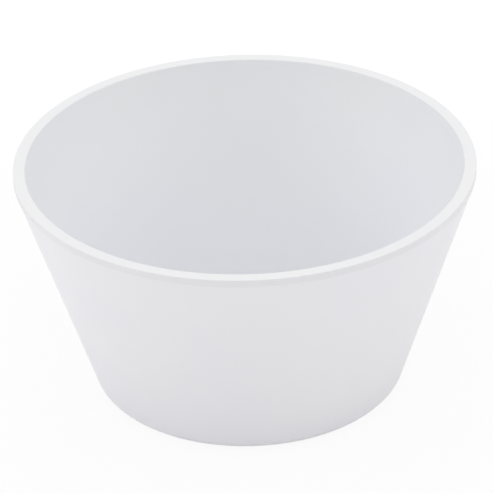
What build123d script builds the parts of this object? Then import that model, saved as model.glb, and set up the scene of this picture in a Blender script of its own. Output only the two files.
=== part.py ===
"""A white double-walled serving bowl with straight, tapered sides and a flat rim.

Two moulded shells make the bowl. The inner bowl holds the food and carries the rim. Its rim turns down
outside into a short skirt, which sits on the shoulder of the outer shell. A tongue on the outer shell is
bonded into the groove behind the skirt. Between the two shells lies a sealed layer of air.

Millimetres, +Z up. The origin is the centre of the foot, on the table.
"""

import os
from math import atan, cos, pi, tan

from build123d import *

# Overall sizes
RIM_DIAMETER = 250.0
HEIGHT = 131.0
BASE_DIAMETER = 167.2  # where the line of the outer wall meets the table, before its corner is rounded

# Walls, measured square to their faces
SHELL_WALL = 2.2
AIR_GAP = 2.7
INNER_WALL = 2.2

# Rim and skirt of the inner bowl
RIM_THICKNESS = 1.8
SKIRT_HEIGHT = 4.0
SKIRT_OVERHANG = 0.25  # how far the skirt stands out over the outer shell
RIM_OUTER_ROUNDING = 0.6
RIM_INNER_ROUNDING = 0.5
SKIRT_ROUNDING = 0.2
GROOVE_ROUNDING = 0.8  # where the wall of the inner bowl meets the underside of its rim

# Bonded joint under the rim
TONGUE_WALL = 1.0
TONGUE_SIDE_CLEARANCE = 0.15  # glue space between the tongue and the skirt
TONGUE_TOP_CLEARANCE = 0.2  # glue space between the tongue and the underside of the rim
SHOULDER_ROUNDING = 0.2

# Corners at the bottom
BASE_ROUNDING = 8.8
FLOOR_ROUNDING = 8.0

# The most of a narrow edge that its rounding may take up
ROUNDED_SHARE = 0.9

# Underside of the outer shell
FOOT_WIDTH = 5.0
FOOT_RECESS = 1.2
FOOT_ROUNDING = 0.5
GATE_WELL_DIAMETER = 14.0
GATE_WELL_DEPTH = 0.5
GATE_STUB_DIAMETER = 3.0
GATE_STUB_HEIGHT = 0.3

# Radii and heights that follow from the sizes above
RIM_RADIUS = RIM_DIAMETER / 2
BASE_RADIUS = BASE_DIAMETER / 2
SKIRT_BOTTOM = HEIGHT - SKIRT_HEIGHT
RIM_UNDERSIDE = HEIGHT - RIM_THICKNESS
TONGUE_TOP = RIM_UNDERSIDE - TONGUE_TOP_CLEARANCE
SHOULDER_RADIUS = RIM_RADIUS - SKIRT_OVERHANG
TAPER = atan((SHOULDER_RADIUS - BASE_RADIUS) / SKIRT_BOTTOM)  # wall's lean from upright, in radians

SHELL_FLOOR = FOOT_RECESS + SHELL_WALL
INNER_UNDERSIDE = SHELL_FLOOR + AIR_GAP
BOWL_FLOOR = INNER_UNDERSIDE + INNER_WALL


def wall_radius(height, depth=0.0):
    """Radius, at a height, of the cone that lies a depth inside the outer face of the wall."""
    return BASE_RADIUS + height * tan(TAPER) - depth / cos(TAPER)


TONGUE_INNER_RADIUS = wall_radius(SKIRT_BOTTOM, SHELL_WALL)
TONGUE_OUTER_RADIUS = TONGUE_INNER_RADIUS + TONGUE_WALL
SKIRT_INNER_RADIUS = TONGUE_OUTER_RADIUS + TONGUE_SIDE_CLEARANCE


def turned(name, corners):
    """A solid of revolution about Z, from the corners (radius, height, rounding) of half its section."""
    points = [(radius, height) for radius, height, _ in corners]
    roundings = [rounding for _, _, rounding in corners]
    with BuildPart() as piece:
        with BuildSketch(Plane.XZ):
            with BuildLine():
                FilletPolyline(*points, radius=roundings, close=True)
            make_face()
        revolve(axis=Axis.Z)
    piece.part.label = name
    return piece.part


def inner_bowl():
    """The bowl that holds the food, with its flat rim and the skirt that hides the joint."""
    outside = SHELL_WALL + AIR_GAP
    inside = outside + INNER_WALL
    skirt_wall = RIM_RADIUS - SKIRT_INNER_RADIUS
    skirt_rounding = min(SKIRT_ROUNDING, ROUNDED_SHARE * skirt_wall)
    return turned("inner_bowl", [
        (0, INNER_UNDERSIDE, 0),
        (wall_radius(INNER_UNDERSIDE, outside), INNER_UNDERSIDE, FLOOR_ROUNDING + INNER_WALL),
        (wall_radius(RIM_UNDERSIDE, outside), RIM_UNDERSIDE, GROOVE_ROUNDING),
        (SKIRT_INNER_RADIUS, RIM_UNDERSIDE, 0),
        (SKIRT_INNER_RADIUS, SKIRT_BOTTOM, 0),
        (RIM_RADIUS, SKIRT_BOTTOM, skirt_rounding),
        (RIM_RADIUS, HEIGHT, RIM_OUTER_ROUNDING),
        (wall_radius(HEIGHT, inside), HEIGHT, RIM_INNER_ROUNDING),
        (wall_radius(BOWL_FLOOR, inside), BOWL_FLOOR, FLOOR_ROUNDING),
        (0, BOWL_FLOOR, 0),
    ])


def outer_shell():
    """The jacket: the shoulder under the skirt, the tongue behind it, the tapered wall and the foot."""
    corner_setback = BASE_ROUNDING / tan((pi / 2 + TAPER) / 2)
    foot_outer_radius = BASE_RADIUS - corner_setback
    foot_inner_radius = foot_outer_radius - FOOT_WIDTH
    foot_rounding = min(FOOT_ROUNDING, ROUNDED_SHARE * FOOT_RECESS / 2)
    well_radius = GATE_WELL_DIAMETER / 2
    well_top = FOOT_RECESS + GATE_WELL_DEPTH
    stub_radius = GATE_STUB_DIAMETER / 2
    stub_end = well_top - GATE_STUB_HEIGHT
    shoulder_width = SHOULDER_RADIUS - TONGUE_OUTER_RADIUS
    shoulder_limit = ROUNDED_SHARE * shoulder_width * tan((pi / 2 - TAPER) / 2)
    shoulder_rounding = min(SHOULDER_ROUNDING, shoulder_limit)
    inner_rounding = max(BASE_ROUNDING - SHELL_WALL, 0)
    return turned("outer_shell", [
        (0, stub_end, 0),
        (stub_radius, stub_end, 0),
        (stub_radius, well_top, 0),
        (well_radius, well_top, 0),
        (well_radius, FOOT_RECESS, 0),
        (foot_inner_radius, FOOT_RECESS, foot_rounding),
        (foot_inner_radius, 0, foot_rounding),
        (BASE_RADIUS, 0, BASE_ROUNDING),
        (SHOULDER_RADIUS, SKIRT_BOTTOM, shoulder_rounding),
        (TONGUE_OUTER_RADIUS, SKIRT_BOTTOM, 0),
        (TONGUE_OUTER_RADIUS, TONGUE_TOP, 0),
        (TONGUE_INNER_RADIUS, TONGUE_TOP, 0),
        (TONGUE_INNER_RADIUS, SKIRT_BOTTOM, 0),
        (wall_radius(SHELL_FLOOR, SHELL_WALL), SHELL_FLOOR, inner_rounding),
        (0, SHELL_FLOOR, 0),
    ])


def main():
    os.makedirs("parts", exist_ok=True)
    for piece in (inner_bowl(), outer_shell()):
        export_step(piece, f"parts/{piece.label}.step")


main()
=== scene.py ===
"""The looks of a white double-walled serving bowl: two turned mouldings in satin plastic, on a pale floor.

Metres, +Z up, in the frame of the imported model.
"""

from math import atan, cos, pi, radians, sin, tan

import bmesh
import bpy
from mathutils import Euler, Matrix, Vector


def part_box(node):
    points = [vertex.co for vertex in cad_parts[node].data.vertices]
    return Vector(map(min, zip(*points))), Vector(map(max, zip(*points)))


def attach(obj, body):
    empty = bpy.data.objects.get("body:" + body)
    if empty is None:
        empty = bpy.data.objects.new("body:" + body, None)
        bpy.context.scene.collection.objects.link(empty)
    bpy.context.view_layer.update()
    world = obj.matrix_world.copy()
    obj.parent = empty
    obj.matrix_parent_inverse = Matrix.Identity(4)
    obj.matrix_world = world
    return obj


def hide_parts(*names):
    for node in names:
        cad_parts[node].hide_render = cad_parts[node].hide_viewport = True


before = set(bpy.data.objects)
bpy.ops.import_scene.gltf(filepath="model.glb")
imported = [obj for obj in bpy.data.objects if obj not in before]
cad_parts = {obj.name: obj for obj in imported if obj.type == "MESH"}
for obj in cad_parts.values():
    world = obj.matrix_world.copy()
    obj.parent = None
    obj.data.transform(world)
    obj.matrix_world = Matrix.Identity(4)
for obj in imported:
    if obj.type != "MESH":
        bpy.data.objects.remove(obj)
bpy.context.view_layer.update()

MM = 0.001

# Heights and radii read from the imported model
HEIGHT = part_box("inner_bowl")[1].z
RIM_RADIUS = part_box("inner_bowl")[1].x
INNER_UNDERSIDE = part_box("inner_bowl")[0].z
TONGUE_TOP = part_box("outer_shell")[1].z

# Walls
BASE_RADIUS = 83.6 * MM  # where the line of the outer wall meets the table, before its corner is rounded
SHELL_WALL = 2.2 * MM
AIR_GAP = 2.7 * MM
INNER_WALL = 2.2 * MM

# Rim, skirt and the bonded joint under them
SKIRT_HEIGHT = 4.0 * MM
SKIRT_OVERHANG = 0.25 * MM
TONGUE_WALL = 1.0 * MM
TONGUE_SIDE_CLEARANCE = 0.15 * MM
TONGUE_TOP_CLEARANCE = 0.2 * MM
RIM_OUTER_ROUNDING = 0.6 * MM
RIM_INNER_ROUNDING = 0.5 * MM
SKIRT_ROUNDING = 0.2 * MM
GROOVE_ROUNDING = 0.8 * MM
SHOULDER_ROUNDING = 0.2 * MM

# Bottom of the bowl
BASE_ROUNDING = 8.8 * MM
FLOOR_ROUNDING = 8.0 * MM
FOOT_WIDTH = 5.0 * MM
FOOT_RECESS = 1.2 * MM
FOOT_ROUNDING = 0.5 * MM
GATE_WELL_RADIUS = 7.0 * MM
GATE_WELL_DEPTH = 0.5 * MM
GATE_STUB_RADIUS = 1.5 * MM
GATE_STUB_HEIGHT = 0.3 * MM
GATE_ROUNDING = 0.15 * MM

# What follows from those
SKIRT_BOTTOM = HEIGHT - SKIRT_HEIGHT
RIM_UNDERSIDE = TONGUE_TOP + TONGUE_TOP_CLEARANCE
SHOULDER_RADIUS = RIM_RADIUS - SKIRT_OVERHANG
TAPER = atan((SHOULDER_RADIUS - BASE_RADIUS) / SKIRT_BOTTOM)
SHELL_FLOOR = FOOT_RECESS + SHELL_WALL
BOWL_FLOOR = INNER_UNDERSIDE + INNER_WALL

# How finely the mouldings are turned and shaded
TURN_STEPS = 256
FINE_STEPS = 6
LARGE_STEPS = 14
LARGE_ROUNDING = 3.0 * MM  # a rounding over this size gets the larger number of steps
WALL_LENGTH = RIM_RADIUS / 3  # a straight stretch over this length is cut into rings
WALL_CUTS = 11
MERGE_DISTANCE = 0.001 * MM
SHARP_ANGLE = radians(40)

# View of the bowl: a long lens, held a little out of level
VIEW_ELEVATION = radians(30.59)
VIEW_DISTANCE = 17.56 * RIM_RADIUS
VIEW_LIFT = radians(0.28304)  # how far the lens points above the middle of the bowl
VIEW_ROLL = radians(-1.474)
FOCAL_LENGTH = 292.7  # in millimetres, as the sensor is
SENSOR_WIDTH = 36.0
VIEW_SHIFT = -0.0004

# White plastic: its colours, the shade painted on the skirt, and the sizes and strengths of the small marks
# in it.
# A spread is the part of a noise's range over which a mark comes in.
COOL_WHITE = (0.861, 0.873, 0.912, 1)
WARM_WHITE = (0.869, 0.877, 0.907, 1)
NOISE_DETAIL = 2.0
TONE_SIZE = 70 * MM
TONE_SPREAD = (0.35, 0.65)
# Painted shade on the skirt's outer face, which faces less down than the wall and gets less light from the
# floor: how wide it fades in, and how dark it is
PAINTED_SHADE_FADE = 1.0 * MM
SKIRT_PAINTED_SHADE = 0.949
SCUFF_SIZE = 6 * MM
SCUFF_DETAIL = 4.0
SCUFF_SPREAD = (0.45, 0.65)
SCUFF_SHADE = 0.93
SCUFF_ROUGHNESS = 0.15
GRAIN_SPACING = 22 * MM
GRAIN_RADIUS = 0.4 * MM
GRAIN_SHADE = 0.86
SATIN_ROUGHNESS = (0.46, 0.54)
POLISH_SIZE = 28 * MM
POLISH_SPREAD = (0.3, 0.7)
RING_SIZE = 1.5 * MM
RING_ROUGHNESS = 0.02
WAVE_SIZE = 40 * MM
WAVE_DETAIL = 0.0
WAVE_DEPTH = 0.12 * MM
SKIN_SIZE = 0.8 * MM
SKIN_DEPTH = 0.012 * MM

# Light, floor and backdrop
WHITE = (1, 1, 1, 1)
SEEN_WHITE = 1.0  # the strength at which floor and backdrop show as white
LIGHT_COLOUR = (1, 0.989, 0.963)
HORIZON_LIGHT = 0.47
ZENITH_LIGHT = 1.163
FLOOR_COLOUR = (0.898, 0.886, 0.914, 1)
FLOOR_GLOW = 0.9
FLOOR_REACH = 6.0

# Lamps: name, azimuth and strength. Azimuths are in degrees: 0 is to the right of the bowl, 90 behind it.
SIDE_LAMPS = (
    ("left_lamp", 180, 0.289),
    ("right_lamp", 0, 0.199),
)
SIDE_LAMP_ELEVATION = radians(24)
SIDE_LAMP_SPREAD = radians(30)
FLOOR_LAMPS = (
    ("left_floor_lamp", 180, 35.5),
    ("right_floor_lamp", 0, 26.0),
    ("front_floor_lamp", 270, 13.1),
    ("back_floor_lamp", 90, 24.4),
)
FLOOR_LAMP_DISTANCE = 0.5
FLOOR_LAMP_HEIGHT = 1.2
FLOOR_LAMP_SIZE = 0.1
FLOOR_LAMP_CONE = radians(34)
FLOOR_LAMP_BLEND = 1.0


def wall_radius(height, depth=0.0):
    """Radius, at a height, of the cone that lies a depth inside the outer face of the wall."""
    return BASE_RADIUS + height * tan(TAPER) - depth / cos(TAPER)


TONGUE_INNER_RADIUS = wall_radius(SKIRT_BOTTOM, SHELL_WALL)
TONGUE_OUTER_RADIUS = TONGUE_INNER_RADIUS + TONGUE_WALL
SKIRT_INNER_RADIUS = TONGUE_OUTER_RADIUS + TONGUE_SIDE_CLEARANCE


def placed(name, data):
    """A new object in the scene."""
    item = bpy.data.objects.new(name, data)
    bpy.context.scene.collection.objects.link(item)
    return item


def finished(bm, name, material):
    """The object that a bmesh becomes when its shape is done, in one material."""
    mesh = bpy.data.meshes.new(name)
    bm.to_mesh(mesh)
    bm.free()
    mesh.materials.append(material)
    return placed(name, mesh)


def round_corner(bm, corner, rounding):
    """Rounds one corner of a wire outline to an arc of that radius."""
    before, after = (edge.other_vert(corner).co - corner.co for edge in corner.link_edges)
    setback = rounding / tan(before.angle(after) / 2)
    steps = LARGE_STEPS if rounding > LARGE_ROUNDING else FINE_STEPS
    bmesh.ops.bevel(bm, geom=[corner], offset=setback, offset_type="OFFSET", segments=steps,
                    profile=0.5, affect="VERTICES", material=-1)


def turned(name, corners, material):
    """A moulding turned about Z, from the corners (radius, height, rounding) of half its section."""
    bm = bmesh.new()
    points = [bm.verts.new((radius, 0, height)) for radius, height, _ in corners]
    for start, end in zip(points, points[1:]):
        bm.edges.new((start, end))
    for point, (_, _, rounding) in zip(points, corners):
        if rounding:
            round_corner(bm, point, rounding)
    stretches = [edge for edge in bm.edges if edge.calc_length() > WALL_LENGTH]
    bmesh.ops.subdivide_edges(bm, edges=stretches, cuts=WALL_CUTS)
    bmesh.ops.spin(bm, geom=bm.verts[:] + bm.edges[:], cent=(0, 0, 0), axis=(0, 0, 1), angle=2 * pi,
                   steps=TURN_STEPS, use_merge=True)
    bmesh.ops.remove_doubles(bm, verts=bm.verts, dist=MERGE_DISTANCE)
    bmesh.ops.recalc_face_normals(bm, faces=bm.faces)

    # Smooth shading, with the square corners left sharp and the flat faces flat up to their roundings
    for face in bm.faces:
        face.smooth = True
    for edge in bm.edges:
        edge.smooth = edge.calc_face_angle() < SHARP_ANGLE
    piece = finished(bm, name, material)
    piece.modifiers.new("even_shading", "WEIGHTED_NORMAL").keep_sharp = True
    return piece


def inner_bowl(material):
    """The bowl that holds the food, with its flat rim and the skirt that hides the joint."""
    outside = SHELL_WALL + AIR_GAP
    inside = outside + INNER_WALL
    return turned("inner_bowl_moulding", [
        (0, INNER_UNDERSIDE, 0),
        (wall_radius(INNER_UNDERSIDE, outside), INNER_UNDERSIDE, FLOOR_ROUNDING + INNER_WALL),
        (wall_radius(RIM_UNDERSIDE, outside), RIM_UNDERSIDE, GROOVE_ROUNDING),
        (SKIRT_INNER_RADIUS, RIM_UNDERSIDE, 0),
        (SKIRT_INNER_RADIUS, SKIRT_BOTTOM, 0),
        (RIM_RADIUS, SKIRT_BOTTOM, SKIRT_ROUNDING),
        (RIM_RADIUS, HEIGHT, RIM_OUTER_ROUNDING),
        (wall_radius(HEIGHT, inside), HEIGHT, RIM_INNER_ROUNDING),
        (wall_radius(BOWL_FLOOR, inside), BOWL_FLOOR, FLOOR_ROUNDING),
        (0, BOWL_FLOOR, 0),
    ], material)


def outer_shell(material):
    """The jacket: the shoulder under the skirt, the tongue behind it, the tapered wall and the foot."""
    foot_outer_radius = BASE_RADIUS - BASE_ROUNDING / tan((pi / 2 + TAPER) / 2)
    foot_inner_radius = foot_outer_radius - FOOT_WIDTH
    well_top = FOOT_RECESS + GATE_WELL_DEPTH
    stub_end = well_top - GATE_STUB_HEIGHT
    return turned("outer_shell_moulding", [
        (0, stub_end, 0),
        (GATE_STUB_RADIUS, stub_end, GATE_ROUNDING),
        (GATE_STUB_RADIUS, well_top, 0),
        (GATE_WELL_RADIUS, well_top, GATE_ROUNDING),
        (GATE_WELL_RADIUS, FOOT_RECESS, GATE_ROUNDING),
        (foot_inner_radius, FOOT_RECESS, FOOT_ROUNDING),
        (foot_inner_radius, 0, FOOT_ROUNDING),
        (BASE_RADIUS, 0, BASE_ROUNDING),
        (SHOULDER_RADIUS, SKIRT_BOTTOM, SHOULDER_ROUNDING),
        (TONGUE_OUTER_RADIUS, SKIRT_BOTTOM, 0),
        (TONGUE_OUTER_RADIUS, TONGUE_TOP, 0),
        (TONGUE_INNER_RADIUS, TONGUE_TOP, 0),
        (TONGUE_INNER_RADIUS, SKIRT_BOTTOM, 0),
        (wall_radius(SHELL_FLOOR, SHELL_WALL), SHELL_FLOOR, BASE_ROUNDING - SHELL_WALL),
        (0, SHELL_FLOOR, 0),
    ], material)


def add(tree, kind, inputs, **settings):
    """A new node. Each of its inputs is given a plain value, or the socket that it is linked to."""
    node = tree.nodes.new(kind)
    for name, value in settings.items():
        setattr(node, name, value)
    for name, value in inputs.items():
        if isinstance(value, bpy.types.NodeSocket):
            tree.links.new(value, node.inputs[name])
        else:
            node.inputs[name].default_value = value
    return node


def ramp(tree, value, start, end, low=0.0, high=1.0):
    """A smooth change from low to high as a value goes from start to end."""
    reach = {"Value": value, "From Min": start, "From Max": end, "To Min": low, "To Max": high}
    return add(tree, "ShaderNodeMapRange", reach, interpolation_type="SMOOTHSTEP").outputs["Result"]


def noise(tree, place, size, detail=NOISE_DETAIL):
    """Soft noise with patches of about a size."""
    look = {"Vector": place, "Scale": 1 / size, "Detail": detail}
    return add(tree, "ShaderNodeTexNoise", look).outputs["Fac"]


def joined(tree, operation, first, *others):
    """Sockets put together by one operation of arithmetic."""
    for other in others:
        first = add(tree, "ShaderNodeMath", {0: first, 1: other}, operation=operation).outputs["Value"]
    return first


def axis_distance(tree, place):
    """How far a point lies from the axis of the bowl."""
    level = add(tree, "ShaderNodeVectorMath", {0: place, 1: (1, 1, 0)}, operation="MULTIPLY")
    length = add(tree, "ShaderNodeVectorMath", {0: level.outputs["Vector"]}, operation="LENGTH")
    return length.outputs["Value"]


def painted_shade_mask(tree, height, radius):
    """Where shade is painted: 1 on the outer face of the skirt, fading to 0 at its edges."""
    return joined(tree, "MULTIPLY",
                  ramp(tree, radius, SKIRT_INNER_RADIUS - PAINTED_SHADE_FADE, SKIRT_INNER_RADIUS),
                  ramp(tree, height, SKIRT_BOTTOM - PAINTED_SHADE_FADE, SKIRT_BOTTOM + PAINTED_SHADE_FADE),
                  ramp(tree, height, HEIGHT, HEIGHT - RIM_OUTER_ROUNDING))


def foot_scuffs(tree, place, height):
    """How rubbed a point is: patches on the foot ring, and nothing above it."""
    patches = ramp(tree, noise(tree, place, SCUFF_SIZE, SCUFF_DETAIL), *SCUFF_SPREAD)
    return joined(tree, "MULTIPLY", ramp(tree, height, FOOT_RECESS, 0), patches)


def plastic_colour(tree, place, skirt, scuffs):
    """White that drifts from cool to warm, with painted shade on the skirt, dull scuffs and a few dark
    grains.
    """
    tone = add(tree, "ShaderNodeValToRGB", {"Fac": ramp(tree, noise(tree, place, TONE_SIZE), *TONE_SPREAD)})
    tone.color_ramp.elements[0].color = COOL_WHITE
    tone.color_ramp.elements[1].color = WARM_WHITE
    grains = add(tree, "ShaderNodeTexVoronoi", {"Vector": place, "Scale": 1 / GRAIN_SPACING})
    grain_edge = GRAIN_RADIUS / GRAIN_SPACING
    # The skirt's face gets painted shade for the floor light it misses; the scuffs and grains are marks in
    # the plastic
    shade = joined(tree, "MULTIPLY",
                   ramp(tree, skirt, 0, 1, 1, SKIRT_PAINTED_SHADE),
                   ramp(tree, scuffs, 0, 1, 1, SCUFF_SHADE),
                   ramp(tree, grains.outputs["Distance"], grain_edge / 2, grain_edge, GRAIN_SHADE, 1))
    shaded = add(tree, "ShaderNodeHueSaturation", {"Color": tone.outputs["Color"], "Value": shade})
    return shaded.outputs["Color"]


def satin_polish(tree, place, height, radius, scuffs):
    """Roughness: uneven polish, faint rings from the turned mould, and duller scuffs."""
    section = add(tree, "ShaderNodeCombineXYZ", {"X": radius, "Z": height}).outputs["Vector"]
    rings = noise(tree, section, RING_SIZE)
    return joined(tree, "ADD",
                  ramp(tree, noise(tree, place, POLISH_SIZE), *POLISH_SPREAD, *SATIN_ROUGHNESS),
                  ramp(tree, rings, *POLISH_SPREAD, -RING_ROUGHNESS, RING_ROUGHNESS),
                  ramp(tree, scuffs, 0, 1, 0, SCUFF_ROUGHNESS))


def skin_relief(tree, place):
    """Slight waves in the wall, and a fine grain on its skin."""
    waves = {"Height": noise(tree, place, WAVE_SIZE, WAVE_DETAIL), "Distance": WAVE_DEPTH}
    wavy = add(tree, "ShaderNodeBump", waves).outputs["Normal"]
    skin = {"Height": noise(tree, place, SKIN_SIZE), "Distance": SKIN_DEPTH, "Normal": wavy}
    return add(tree, "ShaderNodeBump", skin).outputs["Normal"]


def satin_white():
    """White plastic, moulded through, with an even satin skin, small flaws of making and use, and painted
    shade on the skirt.
    """
    material = bpy.data.materials.new("satin_white_plastic")
    material.use_nodes = True
    tree = material.node_tree
    place = add(tree, "ShaderNodeTexCoord", {}).outputs["Object"]
    height = add(tree, "ShaderNodeSeparateXYZ", {"Vector": place}).outputs["Z"]
    radius = axis_distance(tree, place)
    # Where shade is painted on the skirt's face
    skirt = painted_shade_mask(tree, height, radius)
    scuffs = foot_scuffs(tree, place, height)
    shader = tree.nodes["Principled BSDF"]
    tree.links.new(plastic_colour(tree, place, skirt, scuffs), shader.inputs["Base Color"])
    tree.links.new(satin_polish(tree, place, height, radius, scuffs), shader.inputs["Roughness"])
    tree.links.new(skin_relief(tree, place), shader.inputs["Normal"])
    return material


def seen_directly(tree):
    """A factor of 1 for rays from the camera, reflections and refractions, and 0 for light."""
    path = add(tree, "ShaderNodeLightPath", {}).outputs
    rays = ("Is Camera Ray", "Is Glossy Ray", "Is Transmission Ray")
    return joined(tree, "MAXIMUM", *(path[ray] for ray in rays))


def floor_paper():
    """Pale paper. Seen directly it glows, which makes it nearly white and the bowl's shadow on it light."""
    material = bpy.data.materials.new("pale_floor")
    material.use_nodes = True
    tree = material.node_tree
    paper = add(tree, "ShaderNodeBsdfDiffuse", {"Color": FLOOR_COLOUR}).outputs["BSDF"]
    glow = add(tree, "ShaderNodeEmission", {"Color": WHITE, "Strength": SEEN_WHITE}).outputs["Emission"]
    share = joined(tree, "MULTIPLY", seen_directly(tree), FLOOR_GLOW)
    blend = add(tree, "ShaderNodeMixShader", {0: share, 1: paper, 2: glow})
    tree.links.new(blend.outputs["Shader"], tree.nodes["Material Output"].inputs["Surface"])
    return material


def pale_floor():
    """The floor that the bowl stands on, which reaches equally far to all four sides."""
    bm = bmesh.new()
    bmesh.ops.create_grid(bm, x_segments=1, y_segments=1, size=FLOOR_REACH)
    floor = finished(bm, "floor", floor_paper())


def side_lamp(name, azimuth, strength):
    """A broad, distant lamp that shines on the bowl from one side."""
    data = bpy.data.lights.new(name, "SUN")
    data.energy = strength
    data.color = LIGHT_COLOUR
    data.angle = SIDE_LAMP_SPREAD
    towards = Vector((1, 0, 0))
    towards.rotate(Euler((0, -SIDE_LAMP_ELEVATION, radians(azimuth))))
    placed(name, data).rotation_euler = towards.to_track_quat("Z", "Y").to_euler()


def floor_lamp(name, azimuth, power):
    """A lamp that shines straight down beside the bowl, so that the floor there throws light back up."""
    data = bpy.data.lights.new(name, "SPOT")
    data.energy = power
    data.color = LIGHT_COLOUR
    data.shadow_soft_size = FLOOR_LAMP_SIZE
    data.spot_size = FLOOR_LAMP_CONE
    data.spot_blend = FLOOR_LAMP_BLEND
    place = Vector((FLOOR_LAMP_DISTANCE, 0, FLOOR_LAMP_HEIGHT))
    place.rotate(Euler((0, 0, radians(azimuth))))
    placed(name, data).location = place


def studio_world():
    """White to what looks straight at it, and as light a soft white that grows from the horizon up."""
    world = bpy.data.worlds.new("studio")
    world.use_nodes = True
    bpy.context.scene.world = world
    tree = world.node_tree
    direction = add(tree, "ShaderNodeTexCoord", {}).outputs["Generated"]
    height = add(tree, "ShaderNodeSeparateXYZ", {"Vector": direction}).outputs["Z"]
    growth = {"Value": height, "To Min": HORIZON_LIGHT, "To Max": ZENITH_LIGHT}
    strength = add(tree, "ShaderNodeMapRange", growth).outputs["Result"]
    light = add(tree, "ShaderNodeBackground", {"Color": (*LIGHT_COLOUR, 1), "Strength": strength})
    backdrop = add(tree, "ShaderNodeBackground", {"Color": WHITE, "Strength": SEEN_WHITE})
    shown = {0: seen_directly(tree), 1: light.outputs["Background"], 2: backdrop.outputs["Background"]}
    blend = add(tree, "ShaderNodeMixShader", shown)
    tree.links.new(blend.outputs["Shader"], tree.nodes["World Output"].inputs["Surface"])


def studio_camera():
    """The camera, in front of the bowl and above it."""
    data = bpy.data.cameras.new("camera")
    data.lens = FOCAL_LENGTH
    data.sensor_width = SENSOR_WIDTH
    data.shift_x = VIEW_SHIFT
    middle = Vector((0, 0, HEIGHT / 2))
    back = Vector((0, -cos(VIEW_ELEVATION), sin(VIEW_ELEVATION)))
    tilt = Matrix.Rotation(pi / 2 - VIEW_ELEVATION + VIEW_LIFT, 4, "X")
    roll = Matrix.Rotation(VIEW_ROLL, 4, "Z")
    camera = placed("camera", data)
    camera.matrix_world = Matrix.Translation(middle + back * VIEW_DISTANCE) @ tilt @ roll
    bpy.context.scene.camera = camera


white = satin_white()
for piece, node in ((inner_bowl(white), "inner_bowl"), (outer_shell(white), "outer_shell")):
    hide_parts(node)
    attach(piece, "root")

pale_floor()
for lamp in SIDE_LAMPS:
    side_lamp(*lamp)
for lamp in FLOOR_LAMPS:
    floor_lamp(*lamp)
studio_world()
studio_camera()
bpy.context.scene.view_settings.view_transform = "Standard"
